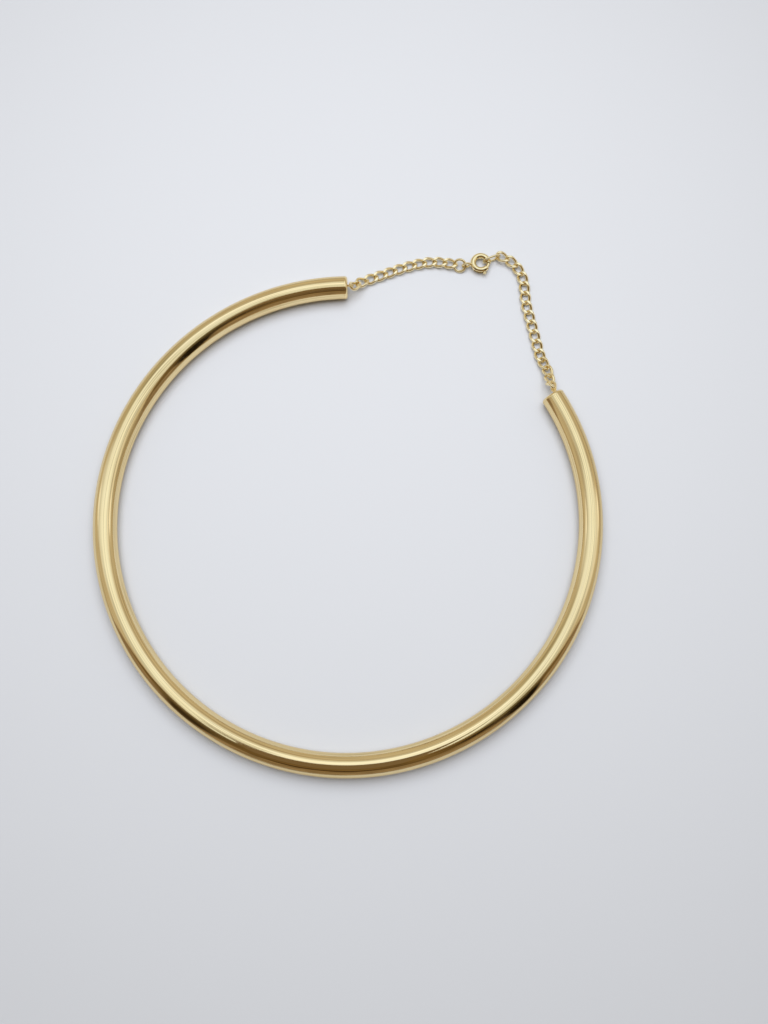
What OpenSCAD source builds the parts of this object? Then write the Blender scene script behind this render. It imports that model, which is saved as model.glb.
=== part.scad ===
// A rigid choker: a round gold tube bent to a circle and open at the back, where two short
// chains and a spring ring clasp close it. It lies flat, as it rests on a table.
// The origin is the centre of the circle on the table. The opening is centred on +Y.

/* [Collar] */
// Diameter of the circle that the tube's centreline follows
collar_d = 123.4; // [118:0.2:130]
// Outer diameter of the tube
tube_d = 6; // [5:0.1:7]
// Thickness of the tube's wall
tube_wall = 0.5; // [0.3:0.1:1]
// Angle of the opening between the two capped ends
opening_angle = 59.6; // [56:0.2:62]

/* [End caps] */
// Thickness of each rounded cap
cap_t = 0.8; // [0.8:0.1:1.5]
// Radius of the cap's rounded edge
cap_round = 0.7; // [0.2:0.1:0.7]
// Length of the spigot inside the tube
spigot_len = 3; // [1:0.5:6]
// Width of the seam between cap and tube
seam = 0.04; // [0.02:0.01:0.1]
// Clearance round the spigot
spigot_gap = 0.1; // [0.05:0.01:0.2]

/* [Eyelets] */
// Outer diameter of the eyelet on each cap
eyelet_d = 1.6; // [1.4:0.1:1.8]
// Thickness of its wire
eyelet_wire = 0.35; // [0.3:0.05:0.5]
// Distance of its centre from the cap's face
eyelet_out = 0.9; // [0.8:0.1:1.2]
// Height of the left eyelet over the middle of its cap
left_eyelet_up = 1; // [0:0.1:1.5]
// Height of the right eyelet over the middle of its cap
right_eyelet_up = 1.5; // [0:0.1:1.5]
// Distance that the left eyelet stands outward of the middle of its cap
left_eyelet_side = 0.1; // [0:0.1:0.8]
// Distance that the right eyelet stands outward of the middle of its cap
right_eyelet_side = 0.8; // [0:0.1:0.8]

/* [Chains] */
// Width of the curb chain, which lies flat
chain_w = 2.9; // [2:0.1:3.1]
// Height of the curb chain
chain_h = 1.6; // [1.2:0.1:1.6]
// Length at which a chain's last link lies round the eyelet
eyelet_end = 1; // [0.8:0.1:1.4]
// Length at which a chain's last link lies round the jump ring or the hook link
ring_end = 1.4; // [1.3:0.1:1.6]

/* [Rings between chain and clasp] */
// Outer diameter of the jump ring
jump_d = 3.8; // [3.7:0.1:3.9]
// Thickness of its wire
jump_wire = 0.7; // [0.6:0.05:0.7]
// Outer length of the hook link
hook_l = 5.2; // [5:0.1:5.3]
// Outer width of the hook link
hook_w = 3; // [2.9:0.05:3.1]
// Thickness of its wire
hook_wire = 0.6; // [0.5:0.05:0.65]

/* [Clasp] */
// Outer diameter of the spring ring clasp
clasp_d = 5.6; // [5.5:0.1:5.7]
// Thickness of its hollow body
clasp_tube = 1.5; // [1.4:0.05:1.55]
// Diameter of the bore that the bolt slides in
clasp_bore = 1; // [0.9:0.05:1.1]
// Diameter of the bolt
bolt_d = 0.8; // [0.6:0.05:0.8]
// Angle of the gap that the bolt closes
gap_angle = 38; // [30:1:40]
// Angle that the trigger draws the bolt back
bolt_travel = 50; // [42:1:52]
// Diameter of the trigger's button
button_d = 0.9; // [0.7:0.05:1]
// Height of the button
button_h = 0.5; // [0.4:0.05:0.6]
// Outer diameter of the soldered eye
eye_d = 2.6; // [2.5:0.1:2.7]
// Thickness of the eye's wire
eye_wire = 0.6; // [0.5:0.05:0.6]

/* [Hidden] */
$fn = 96;
overlap = 0.1;

// Collar
collar_r = collar_d / 2;
tube_bore = tube_d - 2 * tube_wall;
degrees_per_mm = 180 / (PI * collar_r);
cap_angle = opening_angle / 2 + cap_t * degrees_per_mm;
tube_angle = cap_angle + seam * degrees_per_mm;
spigot_angle = spigot_len * degrees_per_mm;
spigot_root = overlap * degrees_per_mm;
left = 1;
right = -1;

// Clasp, in degrees anticlockwise from the side opposite its eye
clasp_at = [-3.2, 78, 1.45];
clasp_turn = 39;
clasp_r = (clasp_d - clasp_tube) / 2;
gap_from = 310;
gap_to = gap_from + gap_angle;
bolt_tip = gap_to + 9;
bolt_tail = 200;
nose_d = bolt_d - 0.1;
trigger_at = 280;
stem_d = 0.35;
button_gap = 0.08;
button_round = 0.25;
button_from = clasp_d / 2 + button_gap;
slot_w = 0.55;
slot_margin = 10;
slot_from = trigger_at - bolt_travel - slot_margin;
slot_angle = bolt_travel + 2 * slot_margin;
eye_r = clasp_d / 2 + eye_d / 2 - overlap;

// Jump ring, held tilted by the chain and by the clasp's eye
jump_at = [-7.86, 74.63, 1.23];
jump_tilt = 32;
jump_turn = -81;

// Hook link, standing on edge round the clasp's body
hook_turn = 50.5;
hook_out = 3.15;
hook_at = [
    clasp_at.x + hook_out * cos(hook_turn),
    clasp_at.y + hook_out * sin(hook_turn),
    hook_w / 2,
];

// Middle line of each chain, from where it hangs in one piece to where it hangs in the next
left_route = [
    [-29.3, 53.8, 4], [-29.3, 55.6, 2.6], [-28, 58.2, 1.2], [-24.5, 62.5, 0.9],
    [-20.6, 67, 0.85], [-16.8, 70.6, 0.85], [-13.2, 72.8, 1], [-8.7, 74.5, 1.1],
];
right_route = [
    [-0.5, 82.1, 1.6], [3, 82.5, 1.2], [5.9, 81.8, 0.95], [8.6, 79.9, 0.9],
    [10.6, 77.3, 0.85], [12.9, 73.8, 0.85], [15.8, 70.5, 0.85], [19.4, 66.5, 0.85],
    [23.2, 62.3, 0.9], [26.7, 59.5, 1.4], [28.7, 56.6, 2.7], [29.7, 55.1, 4.5],
];
chain_sides = 8;

// Sweep of a closed section along a route
function unit(v) = v / norm(v);
function moved(a, b, d) = a + d * unit(b - a);
function trimmed(route, first, last) = let (n = len(route) - 1) [
    for (i = [0 : n])
        i == 0 ? moved(route[0], route[1], first)
        : i == n ? moved(route[n], route[n - 1], last)
        : route[i]
];
function heading(route, i) = unit(route[min(i + 1, len(route) - 1)] - route[max(i - 1, 0)]);
function across(along) = unit(cross([0, 0, 1], along));
function section(p, along, w, h) = [
    for (k = [0 : chain_sides - 1])
        let (a = 360 * k / chain_sides, side = across(along))
            p + side * w / 2 * cos(a) + cross(along, side) * h / 2 * sin(a)
];

module sweep(route, w, h) {
    rings = len(route);
    points = [for (i = [0 : rings - 1]) each section(route[i], heading(route, i), w, h)];
    walls = [
        for (i = [0 : rings - 2], k = [0 : chain_sides - 1])
            let (next = (k + 1) % chain_sides, a = i * chain_sides, b = a + chain_sides)
                [a + k, b + k, b + next, a + next]
    ];
    first = [for (k = [0 : chain_sides - 1]) k];
    last = [for (k = [chain_sides - 1 : -1 : 0]) (rings - 1) * chain_sides + k];
    polyhedron(points, concat([first], walls, [last]), convexity = 8);
}

// A ring of round wire about the Z axis
module wire_ring(outer_d, wire_d) {
    rotate_extrude()
        translate([(outer_d - wire_d) / 2, 0])
            circle(d = wire_d);
}

// Part of a ring of round rod, from one angle over a number of degrees
module rod_arc(radius, rod_d, from, angle) {
    rotate([0, 0, from])
        rotate_extrude(angle = angle)
            translate([radius, 0])
                circle(d = rod_d);
}

// The cap's inner face at one end: Z points out of the tube, X away from the collar's centre
module at_end(side) {
    rotate([0, 0, 90 + side * cap_angle])
        translate([collar_r, 0, tube_d / 2])
            rotate([side * 90, 0, 0])
                children();
}

module collar_tube() {
    color("goldenrod")
        translate([0, 0, tube_d / 2])
            rotate([0, 0, 90 + tube_angle])
                rotate_extrude(angle = 360 - 2 * tube_angle)
                    translate([collar_r, 0])
                        difference() {
                            circle(d = tube_d);
                            circle(d = tube_bore);
                        }
}

// A disc with one rounded edge, at its far face
module rounded_disc(d, h, rounding) {
    rotate_extrude() {
        square([d / 2 - rounding, h]);
        square([d / 2, h - rounding]);
        translate([d / 2 - rounding, h - rounding])
            intersection() {
                circle(r = rounding);
                square(rounding);
            }
    }
}

module spigot(side) {
    start = 90 + side * (cap_angle - spigot_root);
    span = spigot_angle + spigot_root;
    translate([0, 0, tube_d / 2])
        rod_arc(collar_r, tube_bore - 2 * spigot_gap, side == left ? start : start - span, span);
}

// The eyelet's hole looks sideways where it stands upright, and up where it lies flat
module eyelet(side, upright, outward, up) {
    translate([outward, side * up, cap_t]) {
        translate([0, 0, eyelet_out])
            rotate(upright ? [0, 90, 0] : [90, 0, 0])
                wire_ring(eyelet_d, eyelet_wire);
        translate([0, 0, -overlap])
            cylinder(d = eyelet_wire + overlap, h = eyelet_out - eyelet_d / 2 + 2 * overlap);
    }
}

module end_plug(side, upright, outward, up) {
    color("goldenrod") {
        at_end(side) {
            rounded_disc(tube_d, cap_t, cap_round);
            eyelet(side, upright, outward, up);
        }
        spigot(side);
    }
}

module end_plug_left() {
    end_plug(left, upright = true, outward = left_eyelet_side, up = left_eyelet_up);
}

module end_plug_right() {
    end_plug(right, upright = false, outward = right_eyelet_side, up = right_eyelet_up);
}

module chain_left() {
    color("gold") sweep(trimmed(left_route, eyelet_end, ring_end), chain_w, chain_h);
}

module chain_right() {
    color("gold") sweep(trimmed(right_route, ring_end, eyelet_end), chain_w, chain_h);
}

module jump_ring() {
    color("gold")
        translate(jump_at)
            rotate([0, jump_tilt, jump_turn])
                wire_ring(jump_d, jump_wire);
}

// A long link: two round ends joined by two straight sides, standing on edge
module hook_link() {
    bend_r = (hook_w - hook_wire) / 2;
    straight = hook_l - hook_w;
    color("gold")
        translate(hook_at)
            rotate([90, 0, hook_turn])
                for (end = [0, 180])
                    rotate([0, 0, end]) {
                        translate([straight / 2, 0, 0])
                            rod_arc(bend_r, hook_wire, -90, 180);
                        translate([-straight / 2, bend_r, 0])
                            rotate([0, 90, 0])
                                cylinder(d = hook_wire, h = straight);
                    }
}

module at_clasp() {
    translate(clasp_at)
        rotate([0, 0, clasp_turn])
            children();
}

module clasp_ring() {
    color("goldenrod")
        at_clasp()
            difference() {
                union() {
                    rod_arc(clasp_r, clasp_tube, gap_to, 360 - gap_angle);
                    translate([-eye_r, 0, 0])
                        rotate([90, 0, 0])
                            wire_ring(eye_d, eye_wire);
                }
                wire_ring(2 * clasp_r + clasp_bore, clasp_bore);
                rotate([0, 0, slot_from])
                    rotate_extrude(angle = slot_angle)
                        translate([clasp_r, -slot_w / 2])
                            square([clasp_tube, slot_w]);
            }
}

module clasp_bolt() {
    color("gold")
        at_clasp() {
            rod_arc(clasp_r, bolt_d, bolt_tail, bolt_tip - bolt_tail);
            rotate([0, 0, bolt_tip])
                translate([clasp_r, -overlap, 0])
                    sphere(d = nose_d);
            rotate([0, 0, trigger_at])
                rotate([0, 90, 0]) {
                    translate([0, 0, clasp_r])
                        cylinder(d = stem_d, h = button_from + overlap - clasp_r);
                    translate([0, 0, button_from])
                        rounded_disc(button_d, button_h, button_round);
                }
        }
}

collar_tube();
end_plug_left();
end_plug_right();
chain_left();
jump_ring();
clasp_ring();
clasp_bolt();
hook_link();
chain_right();
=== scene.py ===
import math

import bmesh
import bpy
from mathutils import Matrix, Vector


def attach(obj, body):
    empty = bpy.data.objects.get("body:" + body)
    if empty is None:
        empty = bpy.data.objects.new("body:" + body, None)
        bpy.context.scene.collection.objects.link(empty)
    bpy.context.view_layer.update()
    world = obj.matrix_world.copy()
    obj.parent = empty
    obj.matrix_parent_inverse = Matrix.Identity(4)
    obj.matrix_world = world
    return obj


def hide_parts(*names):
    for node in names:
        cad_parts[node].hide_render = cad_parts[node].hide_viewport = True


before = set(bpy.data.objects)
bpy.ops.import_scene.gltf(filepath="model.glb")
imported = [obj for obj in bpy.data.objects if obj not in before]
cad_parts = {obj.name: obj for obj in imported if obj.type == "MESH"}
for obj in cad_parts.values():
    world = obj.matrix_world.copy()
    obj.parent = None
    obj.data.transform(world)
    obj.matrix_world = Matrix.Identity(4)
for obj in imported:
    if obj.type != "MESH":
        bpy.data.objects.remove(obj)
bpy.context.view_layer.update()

MM = 0.001
TURN = 2 * math.pi
UP = Vector((0, 0, 1))

# Collar and end caps, in millimetres as all sizes of the part are
COLLAR_R = 61.7
TUBE_R = 3.0
TUBE_WALL = 0.5
TUBE_EASE = 0.02
OPENING = math.radians(59.6)
CAP_T = 0.8
CAP_ROUND = 0.7
SEAM = 0.01
SPIGOT_L = 3.0
SPIGOT_R = 2.4
SPIGOT_EASE = 0.2

# Eyelets: ring, wire, distance from the cap, and each one's place outward and up on its cap
EYELET_R = 0.8
EYELET_WIRE = 0.35
EYELET_OUT = 0.9
LEFT_EYELET = (0.1, 1.0)
RIGHT_EYELET = (0.8, 1.5)
# Solder at an eyelet's foot, as radius and height over the cap, and its radius at the wire
EYELET_SOLDER = [(0.42, -0.1), (0.42, 0.0), (0.33, 0.04), (0.27, 0.1), (0.24, 0.18)]
EYELET_SOLDER_TIP = 0.2

# Jump ring: its cut is given in degrees, as its place and half its width
JUMP_AT = Vector((-7.86, 74.63, 1.23))
JUMP_TILT = math.radians(32)
JUMP_TURN = math.radians(-81)
JUMP_R = 1.9
JUMP_WIRE = 0.7
JUMP_EASE = 0.03
JUMP_CUT_AT = 215
JUMP_CUT_HALF = 0.6

# Hook link: its soldered seam is a swelling of the wire, with a height and a spread in square mm
HOOK_TURN = math.radians(50.5)
HOOK_OUT = 3.15
HOOK_L = 5.2
HOOK_W = 3.0
HOOK_WIRE = 0.6
HOOK_SEAM = 0.025
HOOK_SEAM_SPREAD = 0.12

# Clasp, with angles in degrees anticlockwise from the side opposite its eye
CLASP_AT = Vector((-3.2, 78, 1.45))
CLASP_TURN = math.radians(39)
CLASP_R = 2.05
CLASP_TUBE = 1.5
CLASP_BORE = 1.0
CLASP_EASE = 0.12
GAP_FROM = 310
GAP_TO = 348
EYE_R = 1.3
EYE_WIRE = 0.6
EYE_OUT = 4.0
# Solder between the clasp's body and its eye, as radius and height, and how deep its foot sits
EYE_SOLDER = [(0.2, -0.2), (0.5, -0.1), (0.52, 0.05), (0.44, 0.2), (0.36, 0.34), (0.3, 0.42)]
EYE_SOLDER_SINK = 0.15
SLOT_FROM = 220
SLOT_TO = 290
SLOT_W = 0.55
BOLT_D = 0.8
BOLT_EASE = 0.22
BOLT_FROM = 200
BOLT_TO = 357
TRIGGER_AT = 280
STEM_D = 0.35
BUTTON_D = 0.9
BUTTON_H = 0.5
BUTTON_FROM = 2.88
BUTTON_ROUND = 0.25

# Curb links: wire thickness at the ends and at the sides, how far above and below the middle they
# are cut flat, half length and half width of the middle line, its exponent, where 2 is an ellipse,
# the twist of either end, and how far along the chain to either side a link's direction is taken
LINK_WIRE = 0.7
LINK_SIDE_WIRE = 0.79
LINK_TOP = 0.68
LINK_FOOT = 0.8
LINK_HALF_L = 1.77
LINK_HALF_W = 1.12
LINK_SQUARE = 2.4
LINK_TWIST = math.radians(-42)
LINK_SPAN = 1.4

# Chains: middle line from where it hangs in one piece to where it hangs in the next, gap before the
# first link, steps from link to link, and degrees that single links are turned about the line, by
# number. The right chain is taut first and pushed together at the cap.
LEFT_ROUTE = [
    (-29.3, 53.8, 4), (-29.3, 55.6, 2.6), (-28, 58.2, 1.2), (-24.5, 62.5, 0.9),
    (-20.6, 67, 0.85), (-16.8, 70.6, 0.85), (-13.2, 72.8, 1), (-8.7, 74.5, 1.1),
]
LEFT_LEAD = 0.05
LEFT_STEPS = [2.777] * 10
LEFT_ROLLS = {0: -5, 2: 5}
RIGHT_ROUTE = [
    (-0.5, 82.1, 1.6), (3, 82.5, 1.2), (5.9, 81.8, 0.95), (8.6, 79.9, 0.9),
    (10.6, 77.3, 0.85), (12.9, 73.8, 0.85), (15.8, 70.5, 0.85), (19.4, 66.5, 0.85),
    (23.2, 62.3, 0.9), (26.7, 59.5, 1.4), (28.7, 56.6, 2.7), (29.7, 55.1, 4.5),
]
RIGHT_LEAD = 0
RIGHT_STEPS = [2.79] * 11 + [2.52] * 4
RIGHT_ROLLS = {0: -5, 12: -10, 13: -10, 14: -15, 15: -20}

# Meshes: facets, how deep soldered shapes reach into each other, how near two points of a cut are
# joined, and the steepest edge that is shaded smooth
COLLAR_STEPS = 360
COLLAR_SIDES = 72
ROD_SIDES = 32
EASE_STEPS = 6
ROUND_STEPS = 12
HOOK_BEND_STEPS = 24
HOOK_SIDE_STEPS = 12
WIRE_SIDES = 24
SLOT_STEPS = 48
LINK_STEPS = 72
OVERLAP = 0.1
WELD = 0.0003
SMOOTH_TO = math.radians(35)

# Gold of each slot: pale and deep tint, and roughness where it is clean and where it is smudged
POLISHED_GOLD = ((0.92, 0.75, 0.42), (0.90, 0.72, 0.39), 0.025, 0.055)
CHAIN_GOLD = ((1.0, 0.87, 0.56), (0.96, 0.81, 0.48), 0.04, 0.08)
CLASP_GOLD = ((0.98, 0.84, 0.50), (0.95, 0.80, 0.46), 0.03, 0.07)
GLANCING_TINT = (0.86, 0.80, 0.70)
# Scale and detail of the noise behind the tints, the smudges and the waviness
TINT_NOISE = (90, 3)
SMUDGE_NOISE = (260, 5)
WAVE_NOISE = (400, 2)
WAVE_STRENGTH = 0.05
WAVE_HEIGHT = 0.0002

# Drawing lines along the tube: how many round it, how little they wander along it, half width as a
# share of the noise, tint, added roughness, and the noise that fades them and how far it does
LINE_SCALE = 3.6
LINE_DRIFT = 0.12
LINE_HALF = 0.055
LINE_TINT = (0.65, 0.50, 0.25)
LINE_DULL = 0.2
LINE_FADE_NOISE = (40, 2)
LINE_FAINTEST = 0.45

# Camera, at the photograph's angle: degrees that its upright direction is turned from the part's +Y
# and that it leans back from straight down, the point that it looks at, and its distance and lens
VIEW_TURN = 29.25
VIEW_LEAN = 10.85
VIEW_AIM = Vector((9.14, 1.25, 0))
VIEW_FROM = 232.1
LENS = 31.64
SENSOR = 36
VIEW_FRAME = Matrix.Rotation(math.radians(VIEW_TURN), 3, "Z")

# Light of the room, by direction: degrees to the right and ahead of straight up
WALL = (0.56, 0.50, 0.40)
# Centre, reach, softness of the edge, turn and light of each patch
LIGHT_PATCHES = [
    ((-42, 15), (20, 10), 0.5, -18, (0.74, 0.75, 0.75)),
    ((42, 5), (18, 13), 0.5, 6, (0.80, 0.80, 0.78)),
    ((-36, 35), (21, 12), 0.6, -45, (0.42, 0.39, 0.29)),
    ((0, 11), (34, 31), 0.42, 0, (0.98, 1.06, 1.13)),
    ((0, 29), (22, 7), 0.5, 0, (1.08, 1.17, 1.3)),
    ((-7, 16), (8, 5), 0.6, 20, (1.08, 1.16, 1.3)),
    ((-21, 1), (6, 7), 0.6, 0, (0.66, 0.68, 0.68)),
    ((21, -2), (6, 5), 0.6, 0, (0.70, 0.72, 0.72)),
    ((-54, 14), (8, 4), 0.6, -12, (1.0, 1.02, 1.05)),
    ((60, 13), (9, 5), 0.6, 12, (1.0, 1.0, 1.0)),
]
DARK_PATCHES = [
    ((-26, -20), (16, 6), 0.6, 28, (0.14, 0.11, 0.06)),
    ((-46, -43), (22, 9), 0.5, 42, (0.045, 0.03, 0.014)),
    ((24, -20), (12, 6), 0.6, -36, (0.15, 0.125, 0.07)),
    ((48, -42), (25, 8), 0.32, -41, (0.012, 0.008, 0.004)),
    ((24, -33), (9, 5), 0.5, -56, (0.03, 0.02, 0.01)),
    ((-6, -48), (18, 3.5), 0.6, -4, (0.04, 0.02, 0.008)),
]
# Dark side overhead, and the degrees from straight up over which it turns to each next light
SHADE = (0.17, 0.11, 0.045)
SHADE_STEPS = [(50, 66, (0.27, 0.20, 0.13)), (76, 94, (0.30, 0.25, 0.20))]
# Far edge of the dark side: degrees ahead of straight up, how much nearer it comes at either side,
# and softness
DARK_FROM = -11
DARK_SLOPE = 0.12
DARK_SOFT = 3
# Soft spots on either side: scale and detail of the noise, and how dark and light they get
LIGHT_SPOTS = (5, 2, 0.83, 1.09)
DARK_SPOTS = (9, 4, 0.65, 1.35)
# Plain backdrop that the camera sees past the floor
BACKDROP = (0.33, 0.335, 0.35)

# Dark card round the camera, in metres: corners in the camera's frame, height and light
CARD = [(-0.11, -0.19), (0.041, -0.19), (0.041, -0.026), (-0.052, -0.026)]
CARD_UP = 0.24
CARD_LIGHT = (0.19, 0.135, 0.08)

# Lamp and floor, in metres, with the lamp's place in the camera's frame
LAMP_AT = Vector((0, 0.085, 0.32))
LAMP_SIZE = 0.36
LAMP_ENERGY = 1.31
LAMP_COLOUR = (0.97, 0.985, 1)
FLOOR_HALF = 3
FLOOR_COLOUR = (0.537, 0.55, 0.587)


# Places
def spoke(angle):
    """Direction from the middle at an angle about Z."""
    return Vector((math.cos(angle), math.sin(angle), 0))


def shift(x, y, z):
    return Matrix.Translation((x, y, z))


def spin(angle, axis):
    return Matrix.Rotation(angle, 4, axis)


def add_object(name, data):
    made = bpy.data.objects.new(name, data)
    bpy.context.scene.collection.objects.link(made)
    return made


def add_camera():
    facing = VIEW_FRAME @ Matrix.Rotation(math.radians(VIEW_LEAN), 3, "X")
    data = bpy.data.cameras.new("camera")
    data.sensor_width = SENSOR
    data.lens = LENS
    data.clip_start = 0.01
    camera = add_object("camera", data)
    place = (VIEW_FRAME @ VIEW_AIM + facing @ Vector((0, 0, VIEW_FROM))) * MM
    camera.matrix_world = Matrix.Translation(place) @ facing.to_4x4()
    bpy.context.scene.camera = camera


# Meshes
class Shell:
    """Points in millimetres and the faces between them, gathered ring by ring."""

    def __init__(self):
        self.points = []
        self.faces = []

    def ring(self, points):
        first = len(self.points)
        self.points += points
        return list(range(first, len(self.points)))

    def bridge(self, one, two):
        for i in range(len(one)):
            j = (i + 1) % len(one)
            self.faces.append((one[i], one[j], two[j], two[i]))

    def bridge_all(self, rings, closed=False):
        for one, two in zip(rings, rings[1:] + rings[:1] if closed else rings[1:]):
            self.bridge(one, two)

    def solid(self, rings):
        """Bridges a row of rings and closes it with a lid at either end."""
        self.bridge_all(rings)
        self.faces.append(tuple(rings[0]))
        self.faces.append(tuple(rings[-1]))


def circle(centre, across, up, radius, count):
    angles = [TURN * i / count for i in range(count)]
    return [centre + radius * (math.cos(a) * across + math.sin(a) * up) for a in angles]


def shell_mesh(name, shell):
    mesh = bpy.data.meshes.new(name)
    mesh.from_pydata([p * MM for p in shell.points], [], shell.faces)
    work = bmesh.new()
    work.from_mesh(mesh)
    bmesh.ops.recalc_face_normals(work, faces=work.faces)
    work.to_mesh(mesh)
    work.free()
    return mesh


def clean_cuts(mesh):
    """Joins points that a cut left side by side, and splits its many-sided faces."""
    work = bmesh.new()
    work.from_mesh(mesh)
    bmesh.ops.remove_doubles(work, verts=work.verts, dist=WELD * MM)
    wide = [face for face in work.faces if len(face.verts) > 4]
    bmesh.ops.triangulate(work, faces=wide, ngon_method="EAR_CLIP")
    work.to_mesh(mesh)
    work.free()


def new_piece(name, shell, material, body, replaced, cuts=(), joins=()):
    """A smooth-shaded mesh object that stands for a CAD node, from one shell, others soldered to it
    and others cut from it."""
    piece = add_object(name, shell_mesh(name, shell))
    tools = []
    for operation, shells in (("UNION", joins), ("DIFFERENCE", cuts)):
        for other in shells:
            tool = add_object("tool", shell_mesh("tool", other))
            step = piece.modifiers.new("step", "BOOLEAN")
            step.operation = operation
            step.solver = "MANIFOLD"
            step.object = tool
            tools.append(tool)
    if tools:
        depsgraph = bpy.context.evaluated_depsgraph_get()
        piece.data = bpy.data.meshes.new_from_object(piece.evaluated_get(depsgraph))
        piece.data.name = name
        piece.modifiers.clear()
        clean_cuts(piece.data)
        for tool in tools:
            bpy.data.objects.remove(tool)
    piece.data.shade_smooth()
    piece.data.set_sharp_from_angle(angle=SMOOTH_TO)
    piece.data.materials.clear()
    piece.data.materials.append(material)
    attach(piece, body)
    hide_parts(replaced)
    return piece


# Nodes of a material or the world, where a value is a number or another node's output
def math_node(tree, operation, a, b=0):
    node = tree.nodes.new("ShaderNodeMath")
    node.operation = operation
    for socket, value in zip(node.inputs, (a, b)):
        if isinstance(value, (int, float)):
            socket.default_value = value
        else:
            tree.links.new(value, socket)
    return node.outputs["Value"]


def plus(tree, a, b):
    return math_node(tree, "ADD", a, b)


def minus(tree, a, b):
    return math_node(tree, "SUBTRACT", a, b)


def times(tree, a, b):
    return math_node(tree, "MULTIPLY", a, b)


def remap(tree, value, low, high, to_low, to_high, smooth=False):
    node = tree.nodes.new("ShaderNodeMapRange")
    node.interpolation_type = "SMOOTHSTEP" if smooth else "LINEAR"
    node.inputs["From Min"].default_value = low
    node.inputs["From Max"].default_value = high
    node.inputs["To Min"].default_value = to_low
    node.inputs["To Max"].default_value = to_high
    tree.links.new(value, node.inputs["Value"])
    return node.outputs["Result"]


def noise(tree, place, scale, detail):
    node = tree.nodes.new("ShaderNodeTexNoise")
    node.inputs["Scale"].default_value = scale
    node.inputs["Detail"].default_value = detail
    tree.links.new(place, node.inputs["Vector"])
    return node.outputs["Fac"]


def blend(tree, factor, colour_a, colour_b):
    node = tree.nodes.new("ShaderNodeMix")
    node.data_type = "RGBA"
    tree.links.new(factor, node.inputs["Factor"])
    for name, colour in (("A", colour_a), ("B", colour_b)):
        if isinstance(colour, tuple):
            node.inputs[name].default_value = (*colour, 1)
        else:
            tree.links.new(colour, node.inputs[name])
    return node.outputs["Result"]


def spotted(tree, colour, place, scale, detail, low, high):
    """The colour with soft spots, from low to high times as light."""
    node = tree.nodes.new("ShaderNodeVectorMath")
    node.operation = "SCALE"
    tree.links.new(colour, node.inputs[0])
    light = remap(tree, noise(tree, place, scale, detail), 0.3, 0.7, low, high)
    tree.links.new(light, node.inputs["Scale"])
    return node.outputs["Vector"]


# Materials
def drawn_lines(tree, place):
    """1 along thin lines that run the length of the collar's tube, as drawing leaves them."""
    axes = tree.nodes.new("ShaderNodeSeparateXYZ")
    tree.links.new(place, axes.inputs["Vector"])
    x, y, z = axes.outputs
    squares = plus(tree, math_node(tree, "POWER", x, 2), math_node(tree, "POWER", y, 2))
    out = minus(tree, math_node(tree, "SQRT", squares), COLLAR_R * MM)
    section = math_node(tree, "ARCTAN2", out, minus(tree, z, TUBE_R * MM))
    length = math_node(tree, "ARCTAN2", x, times(tree, y, -1))
    point = tree.nodes.new("ShaderNodeCombineXYZ")
    tree.links.new(section, point.inputs["X"])
    tree.links.new(times(tree, length, LINE_DRIFT), point.inputs["Y"])
    wander = minus(tree, noise(tree, point.outputs["Vector"], LINE_SCALE, 1), 0.5)
    thin = remap(tree, math_node(tree, "ABSOLUTE", wander), 0, LINE_HALF, 1, 0, smooth=True)
    fade = remap(tree, noise(tree, place, *LINE_FADE_NOISE), 0.4, 0.6, LINE_FAINTEST, 1)
    return times(tree, thin, fade)


def new_gold(slot, finish, drawn=False):
    """Polished gold plate with two close tints, light smudges, a faint waviness and, where it is
    drawn, fine lines."""
    pale, deep, clean, smudged = finish
    material = bpy.data.materials.new(slot + ("_drawn" if drawn else "_finish"))
    material["slot"] = slot
    material.use_nodes = True
    tree = material.node_tree
    shader = tree.nodes["Principled BSDF"]
    shader.inputs["Metallic"].default_value = 1.0
    shader.inputs["Specular Tint"].default_value = (*GLANCING_TINT, 1)
    place = tree.nodes.new("ShaderNodeTexCoord").outputs["Object"]
    tint = remap(tree, noise(tree, place, *TINT_NOISE), 0.35, 0.65, 0, 1)
    colour = blend(tree, tint, pale, deep)
    dullness = remap(tree, noise(tree, place, *SMUDGE_NOISE), 0.4, 0.7, clean, smudged)
    if drawn:
        lines = drawn_lines(tree, place)
        colour = blend(tree, lines, colour, LINE_TINT)
        dullness = plus(tree, dullness, times(tree, lines, LINE_DULL))
    tree.links.new(colour, shader.inputs["Base Color"])
    tree.links.new(dullness, shader.inputs["Roughness"])
    bump = tree.nodes.new("ShaderNodeBump")
    bump.inputs["Strength"].default_value = WAVE_STRENGTH
    bump.inputs["Distance"].default_value = WAVE_HEIGHT
    tree.links.new(noise(tree, place, *WAVE_NOISE), bump.inputs["Height"])
    tree.links.new(bump.outputs["Normal"], shader.inputs["Normal"])
    return material


def plain_material(name, values):
    material = bpy.data.materials.new(name)
    material.use_nodes = True
    shader = material.node_tree.nodes["Principled BSDF"]
    for socket, value in values.items():
        shader.inputs[socket].default_value = value
    return material


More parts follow.
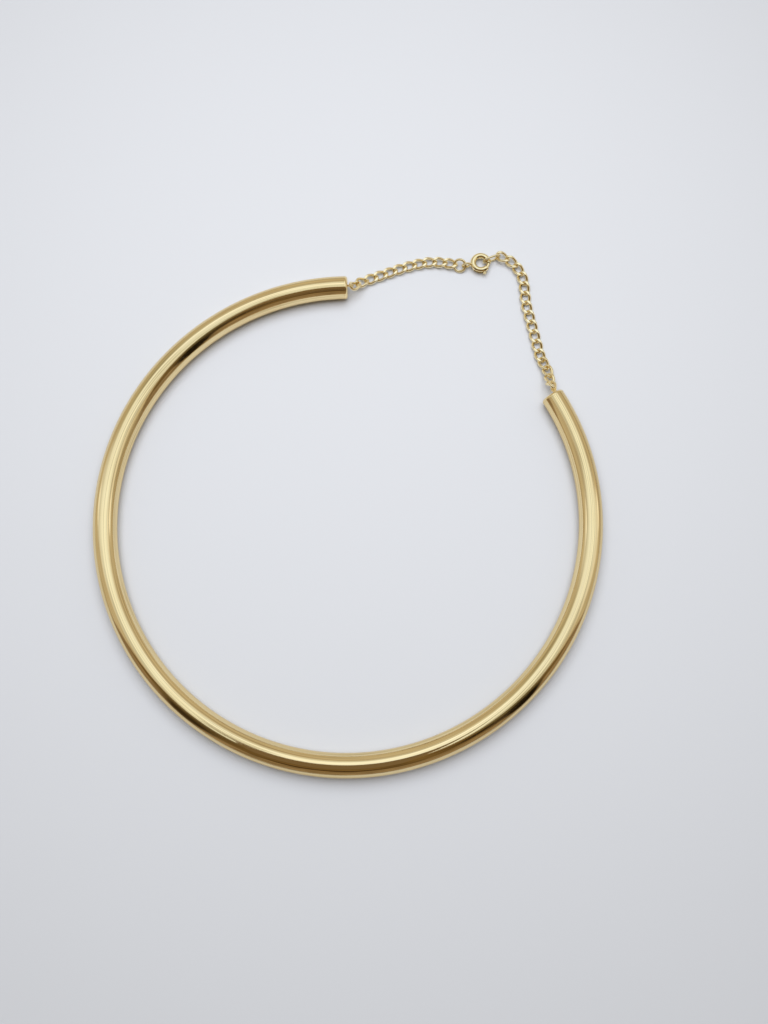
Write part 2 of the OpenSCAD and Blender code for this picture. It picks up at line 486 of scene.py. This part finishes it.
# Collar: a hollow tube bent to a circle, with its cut edges eased
def build_collar(material):
    per_mm = 1 / COLLAR_R
    start = TURN / 4 + OPENING / 2 + (CAP_T + SEAM) * per_mm
    end = TURN * 5 / 4 - OPENING / 2 - (CAP_T + SEAM) * per_mm
    first = start + TUBE_EASE * per_mm
    span = end - start - 2 * TUBE_EASE * per_mm
    stations = [(start, TUBE_R - TUBE_EASE)]
    stations += [(first + span * i / COLLAR_STEPS, TUBE_R) for i in range(COLLAR_STEPS + 1)]
    stations.append((end, TUBE_R - TUBE_EASE))
    shell = Shell()
    outer, inner = [], []
    for angle, radius in stations:
        out = spoke(angle)
        centre = COLLAR_R * out + TUBE_R * UP
        outer.append(shell.ring(circle(centre, out, UP, radius, COLLAR_SIDES)))
        inner.append(shell.ring(circle(centre, out, UP, TUBE_R - TUBE_WALL, COLLAR_SIDES)))
    shell.bridge_all(outer)
    shell.bridge_all(inner)
    shell.bridge(outer[0], inner[0])
    shell.bridge(outer[-1], inner[-1])
    return new_piece("collar", shell, material, "choker", "collar_tube")


# Rods and turned shapes, each in a frame of its own that at maps to the part's
def rod_arc(at, radius, rod_r, start, end, ease, steps=96):
    """Rod bent round Z, between two angles in degrees, with eased ends."""
    shell = Shell()
    start, end = math.radians(start), math.radians(end)
    eased = ease / radius
    arc = [TURN / 4 * i / EASE_STEPS for i in range(EASE_STEPS)]
    tip = [(start + eased * (1 - math.cos(a)), rod_r - ease * (1 - math.sin(a))) for a in arc]
    first, last = start + eased, end - eased
    middle = [(first + (last - first) * i / steps, rod_r) for i in range(steps + 1)]
    far_tip = [(start + end - a, r) for a, r in reversed(tip)]
    rings = []
    for angle, size in tip + middle + far_tip:
        out = spoke(angle)
        rings.append(shell.ring([at @ p for p in circle(radius * out, out, UP, size, ROD_SIDES)]))
    shell.solid(rings)
    return shell


def wire_ring(at, outer_r, wire, steps=96, sides=WIRE_SIDES):
    """Closed ring of round wire about Z."""
    shell = Shell()
    rings = []
    for i in range(steps):
        out = spoke(TURN * i / steps)
        points = circle((outer_r - wire / 2) * out, out, UP, wire / 2, sides)
        rings.append(shell.ring([at @ p for p in points]))
    shell.bridge_all(rings, closed=True)
    return shell


def turned(at, profile, sides):
    """Solid of revolution about Z from a profile of radius and height."""
    shell = Shell()
    across, side = Vector((1, 0, 0)), Vector((0, 1, 0))
    rings = []
    for radius, height in profile:
        points = circle(height * UP, across, side, radius, sides)
        rings.append(shell.ring([at @ p for p in points]))
    shell.solid(rings)
    return shell


def rounded_disc(at, radius, height, rounding, sides=96):
    arc = [TURN / 4 * i / ROUND_STEPS for i in range(ROUND_STEPS + 1)]
    edge = [
        (radius - rounding * (1 - math.cos(a)), height - rounding * (1 - math.sin(a))) for a in arc
    ]
    return turned(at, [(radius, 0), *edge], sides)


# End caps: each a rounded disc with a spigot in the tube and a soldered eyelet
def cap_place(side):
    """From the cap's inner face: Z points out of the tube, X away from the collar's centre."""
    angle = TURN / 4 + side * (OPENING / 2 + CAP_T / COLLAR_R)
    return spin(angle, "Z") @ shift(COLLAR_R, 0, TUBE_R) @ spin(side * TURN / 4, "X")


def build_cap(name, side, upright, eyelet, material, replaced):
    """side: 1 on the left, -1 on the right. upright: whether the eyelet stands or lies flat."""
    at = cap_place(side)
    out, up = eyelet
    foot = at @ shift(out, side * up, CAP_T)
    centre = foot @ shift(0, 0, EYELET_OUT)
    ring = wire_ring(
        centre @ spin(TURN / 4, "Y" if upright else "X"), EYELET_R, EYELET_WIRE, 64, 16
    )
    reach = EYELET_OUT - EYELET_R + EYELET_WIRE / 2
    solder = turned(foot, [*EYELET_SOLDER, (EYELET_SOLDER_TIP, reach + OVERLAP)], 24)
    per_mm = math.degrees(1 / COLLAR_R)
    face = math.degrees(TURN / 4) + side * (math.degrees(OPENING) / 2 + CAP_T * per_mm)
    ends = sorted((face - side * OVERLAP * per_mm, face + side * SPIGOT_L * per_mm))
    spigot = rod_arc(shift(0, 0, TUBE_R), COLLAR_R, SPIGOT_R, *ends, SPIGOT_EASE, steps=12)
    cap = rounded_disc(at, TUBE_R, CAP_T, CAP_ROUND)
    return new_piece(name, cap, material, "choker", replaced, joins=[spigot, solder, ring])


# Jump ring: bent wire whose two cut ends meet
def build_jump_ring(material):
    at = shift(*JUMP_AT) @ spin(JUMP_TURN, "Z") @ spin(JUMP_TILT, "Y")
    start, end = JUMP_CUT_AT + JUMP_CUT_HALF, JUMP_CUT_AT + 360 - JUMP_CUT_HALF
    shell = rod_arc(at, JUMP_R - JUMP_WIRE / 2, JUMP_WIRE / 2, start, end, JUMP_EASE)
    return new_piece("jump_ring_wire", shell, material, "choker", "jump_ring")


# Hook link: a long link on edge, with a soldered seam in one straight side
def build_hook_link(material):
    bend = (HOOK_W - HOOK_WIRE) / 2
    half = (HOOK_L - HOOK_W) / 2
    path = []
    for end in (1, -1):
        for i in range(HOOK_BEND_STEPS + 1):
            angle = -TURN / 4 + TURN / 2 * i / HOOK_BEND_STEPS
            x, y = half + bend * math.cos(angle), bend * math.sin(angle)
            path.append(Vector((end * x, end * y, 0)))
        for i in range(1, HOOK_SIDE_STEPS):
            path.append(Vector((end * half * (1 - 2 * i / HOOK_SIDE_STEPS), end * bend, 0)))
    centre = CLASP_AT + HOOK_OUT * spoke(HOOK_TURN)
    centre.z = HOOK_W / 2
    at = shift(*centre) @ spin(HOOK_TURN, "Z") @ spin(TURN / 4, "X")
    seam = Vector((0, bend, 0))
    shell = Shell()
    rings = []
    for i, point in enumerate(path):
        along = (path[(i + 1) % len(path)] - path[i - 1]).normalized()
        swell = HOOK_SEAM * math.exp(-(point - seam).length_squared / HOOK_SEAM_SPREAD)
        points = circle(point, along.cross(UP), UP, HOOK_WIRE / 2 + swell, WIRE_SIDES)
        rings.append(shell.ring([at @ p for p in points]))
    shell.bridge_all(rings, closed=True)
    return new_piece("hook_link_wire", shell, material, "choker", "hook_link")


# Spring ring clasp
def clasp_place():
    return shift(*CLASP_AT) @ spin(CLASP_TURN, "Z")


def slot_cutter(at):
    """The long slot that the trigger's stem runs in."""
    shell = Shell()
    inner, outer = CLASP_R, CLASP_R + CLASP_TUBE
    rings = []
    for i in range(SLOT_STEPS + 1):
        out = spoke(math.radians(SLOT_FROM + (SLOT_TO - SLOT_FROM) * i / SLOT_STEPS))
        corners = [(inner, -1), (outer, -1), (outer, 1), (inner, 1)]
        rings.append(shell.ring([at @ (r * out + side * SLOT_W / 2 * UP) for r, side in corners]))
    shell.solid(rings)
    return shell


def build_clasp(material):
    at = clasp_place()
    body = rod_arc(at, CLASP_R, CLASP_TUBE / 2, GAP_TO, GAP_FROM + 360, CLASP_EASE)
    bore = wire_ring(at, CLASP_R + CLASP_BORE / 2, CLASP_BORE)
    eye = wire_ring(at @ shift(-EYE_OUT, 0, 0) @ spin(TURN / 4, "X"), EYE_R, EYE_WIRE, 64)
    joint = shift(-CLASP_R - CLASP_TUBE / 2 + EYE_SOLDER_SINK, 0, 0)
    solder = turned(at @ joint @ spin(-TURN / 4, "Y"), EYE_SOLDER, 32)
    return new_piece(
        "clasp_body", body, material, "choker", "clasp_ring",
        cuts=[bore, slot_cutter(at)], joins=[solder, eye],
    )


def build_bolt(material):
    at = clasp_place()
    pin = rod_arc(at, CLASP_R, BOLT_D / 2, BOLT_FROM, BOLT_TO, BOLT_EASE)
    radial = at @ spin(math.radians(TRIGGER_AT), "Z") @ spin(TURN / 4, "Y")
    stem = turned(radial, [(STEM_D / 2, CLASP_R), (STEM_D / 2, BUTTON_FROM + OVERLAP)], 24)
    top = radial @ shift(0, 0, BUTTON_FROM)
    button = rounded_disc(top, BUTTON_D / 2, BUTTON_H, BUTTON_ROUND, 32)
    return new_piece("bolt_and_trigger", pin, material, "bolt", "clasp_bolt", joins=[stem, button])


# Curb chains
def smooth_route(points, steps=40):
    """Points of one smooth curve through the route's own points."""
    p = [Vector(point) for point in points]
    p = [2 * p[0] - p[1], *p, 2 * p[-1] - p[-2]]
    curve = []
    for a, b, c, d in zip(p, p[1:], p[2:], p[3:]):
        for i in range(steps):
            t = i / steps
            bend = (2 * a - 5 * b + 4 * c - d) * t * t + (3 * b - a - 3 * c + d) * t ** 3
            curve.append((2 * b + (c - a) * t + bend) / 2)
    return curve + [p[-2]]


def at_length(curve, length):
    """The point that lies a length along a curve, or past either of its ends."""
    if length < 0:
        return curve[0] + (curve[1] - curve[0]).normalized() * length
    for a, b in zip(curve, curve[1:]):
        step = (b - a).length
        if length <= step:
            return a.lerp(b, length / step)
        length -= step
    return curve[-1] + (curve[-1] - curve[-2]).normalized() * length


def link_outline(angle):
    """A point of a link's middle line: an oval with slightly straighter sides than an ellipse."""
    c, s = math.cos(angle), math.sin(angle)
    near = abs(c / LINK_HALF_L) ** LINK_SQUARE + abs(s / LINK_HALF_W) ** LINK_SQUARE
    reach = near ** (-1 / LINK_SQUARE)
    return reach * c, reach * s


def curb_link(shell, centre, along, roll):
    """A link whose ends are twisted against each other, and whose top and foot are cut flat."""
    across = UP.cross(along).normalized()
    up = along.cross(across)
    upright = math.cos(roll) * up - math.sin(roll) * across
    angles = [TURN * i / LINK_STEPS for i in range(LINK_STEPS)]
    path = []
    for angle in angles:
        x, y = link_outline(angle)
        twist = LINK_TWIST * x / LINK_HALF_L + roll
        path.append(centre + x * along + y * (math.cos(twist) * across + math.sin(twist) * up))
    rings = []
    for i, angle in enumerate(angles):
        ahead = (path[(i + 1) % len(path)] - path[i - 1]).normalized()
        side = ahead.cross(upright).normalized()
        wire = LINK_WIRE + (LINK_SIDE_WIRE - LINK_WIRE) * math.sin(angle) ** 2
        points = []
        for point in circle(path[i], side, side.cross(ahead), wire / 2, WIRE_SIDES):
            height = (point - centre).dot(upright)
            cut = max(-LINK_FOOT, min(LINK_TOP, height))
            points.append(point + (cut - height) * upright)
        rings.append(shell.ring(points))
    shell.bridge_all(rings, closed=True)


def build_chain(name, route, lead, steps, rolls, material, replaced):
    shell = Shell()
    curve = smooth_route(route)
    place = lead + LINK_HALF_L
    for i, step in enumerate([*steps, 0]):
        along = at_length(curve, place + LINK_SPAN) - at_length(curve, place - LINK_SPAN)
        roll = math.radians(rolls.get(i, 0))
        curb_link(shell, at_length(curve, place), along.normalized(), roll)
        place += step
    return new_piece(name, shell, material, "choker", replaced)


# Surface that the choker lies on
def build_floor():
    mesh = bpy.data.meshes.new("floor")
    work = bmesh.new()
    bmesh.ops.create_grid(work, x_segments=1, y_segments=1, size=FLOOR_HALF)
    work.to_mesh(mesh)
    work.free()
    floor = add_object("floor", mesh)
    mesh.materials.append(plain_material("floor", {
        "Base Color": (*FLOOR_COLOUR, 1),
        "Roughness": 0.7,
        "Specular IOR Level": 0.2,
    }))


# Studio: a bright soft ceiling, warm walls, a dark near side, and a plain backdrop for the camera
def sky_axes(tree):
    """Degrees from straight up, then their share to the right and ahead in the camera's frame."""
    direction = tree.nodes.new("ShaderNodeTexCoord").outputs["Generated"]
    mapping = tree.nodes.new("ShaderNodeMapping")
    mapping.inputs["Rotation"].default_value = (0, 0, -math.radians(VIEW_TURN))
    tree.links.new(direction, mapping.inputs["Vector"])
    axes = tree.nodes.new("ShaderNodeSeparateXYZ")
    tree.links.new(mapping.outputs["Vector"], axes.inputs["Vector"])
    x, y, z = axes.outputs
    flat = math_node(tree, "SQRT", minus(tree, 1.0001, times(tree, z, z)))
    polar = times(tree, math_node(tree, "ARCCOSINE", z), math.degrees(1))
    scale = math_node(tree, "DIVIDE", polar, flat)
    return polar, times(tree, x, scale), times(tree, y, scale)


def patch(tree, right, ahead, centre, reach, soft, turn):
    """1 in an ellipse of the sky, 0 outside, with an edge that is soft over a share of its size."""
    c, s = math.cos(math.radians(turn)), math.sin(math.radians(turn))
    u = minus(tree, right, centre[0])
    v = minus(tree, ahead, centre[1])
    along = plus(tree, times(tree, u, c), times(tree, v, s))
    side = minus(tree, times(tree, v, c), times(tree, u, s))
    squares = []
    for length, size in ((along, reach[0]), (side, reach[1])):
        share = math_node(tree, "ABSOLUTE", math_node(tree, "DIVIDE", length, size))
        squares.append(math_node(tree, "POWER", share, 2))
    distance = math_node(tree, "SQRT", plus(tree, *squares))
    return remap(tree, distance, 1 - soft, 1 + soft, 1, 0, smooth=True)


def build_studio():
    world = bpy.data.worlds.new("studio")
    world.use_nodes = True
    bpy.context.scene.world = world
    tree = world.node_tree
    polar, right, ahead = sky_axes(tree)
    place = tree.nodes.new("ShaderNodeTexCoord").outputs["Generated"]
    colour = WALL
    for *shape, light in LIGHT_PATCHES:
        colour = blend(tree, patch(tree, right, ahead, *shape), colour, light)
    shade = SHADE
    for start, end, light in SHADE_STEPS:
        shade = blend(tree, remap(tree, polar, start, end, 0, 1, smooth=True), shade, light)
    for *shape, light in DARK_PATCHES:
        shade = blend(tree, patch(tree, right, ahead, *shape), shade, light)
    shade = spotted(tree, shade, place, *DARK_SPOTS)
    colour = spotted(tree, colour, place, *LIGHT_SPOTS)
    slope = times(tree, math_node(tree, "ABSOLUTE", right), DARK_SLOPE)
    edge = minus(tree, plus(tree, ahead, slope), DARK_FROM)
    near_side = remap(tree, edge, -DARK_SOFT, DARK_SOFT, 1, 0, smooth=True)
    colour = blend(tree, near_side, colour, shade)
    seen = tree.nodes.new("ShaderNodeLightPath").outputs["Is Camera Ray"]
    tree.links.new(blend(tree, seen, colour, BACKDROP), tree.nodes["Background"].inputs["Color"])
    bpy.context.scene.view_settings.view_transform = "Standard"


def add_card():
    """A dark card that the camera looks past, which only the polished metal shows."""
    mesh = bpy.data.meshes.new("camera_card")
    corners = [VIEW_FRAME @ Vector((x, y, CARD_UP)) for x, y in CARD]
    mesh.from_pydata(corners, [], [(0, 1, 2, 3)])
    card = add_object("camera_card", mesh)
    mesh.materials.append(plain_material("camera_card", {
        "Base Color": (0, 0, 0, 1),
        "Specular IOR Level": 0,
        "Emission Color": (*CARD_LIGHT, 1),
        "Emission Strength": 1,
    }))
    card.visible_camera = False
    card.visible_diffuse = False
    card.visible_shadow = False


def add_lamp():
    """A soft lamp over the floor, which the polished metal doesn't mirror."""
    data = bpy.data.lights.new("lamp", "AREA")
    data.shape = "DISK"
    data.size = LAMP_SIZE
    data.energy = LAMP_ENERGY
    data.color = LAMP_COLOUR
    lamp = add_object("lamp", data)
    place = VIEW_FRAME @ LAMP_AT
    lamp.location = place
    lamp.rotation_euler = place.to_track_quat("Z", "Y").to_euler()
    lamp.visible_glossy = False


add_camera()
build_studio()
add_card()
add_lamp()
build_floor()
drawn_gold = new_gold("polished_gold", POLISHED_GOLD, drawn=True)
gold = new_gold("polished_gold", POLISHED_GOLD)
chain_gold = new_gold("chain_gold", CHAIN_GOLD)
clasp_gold = new_gold("clasp_gold", CLASP_GOLD)
build_collar(drawn_gold)
build_cap("end_cap_left", 1, True, LEFT_EYELET, gold, "end_plug_left")
build_cap("end_cap_right", -1, False, RIGHT_EYELET, gold, "end_plug_right")
build_chain(
    "chain_left_links", LEFT_ROUTE, LEFT_LEAD, LEFT_STEPS, LEFT_ROLLS, chain_gold, "chain_left"
)
build_chain(
    "chain_right_links", RIGHT_ROUTE, RIGHT_LEAD, RIGHT_STEPS, RIGHT_ROLLS, chain_gold,
    "chain_right",
)
build_jump_ring(chain_gold)
build_hook_link(chain_gold)
build_clasp(clasp_gold)
build_bolt(clasp_gold)
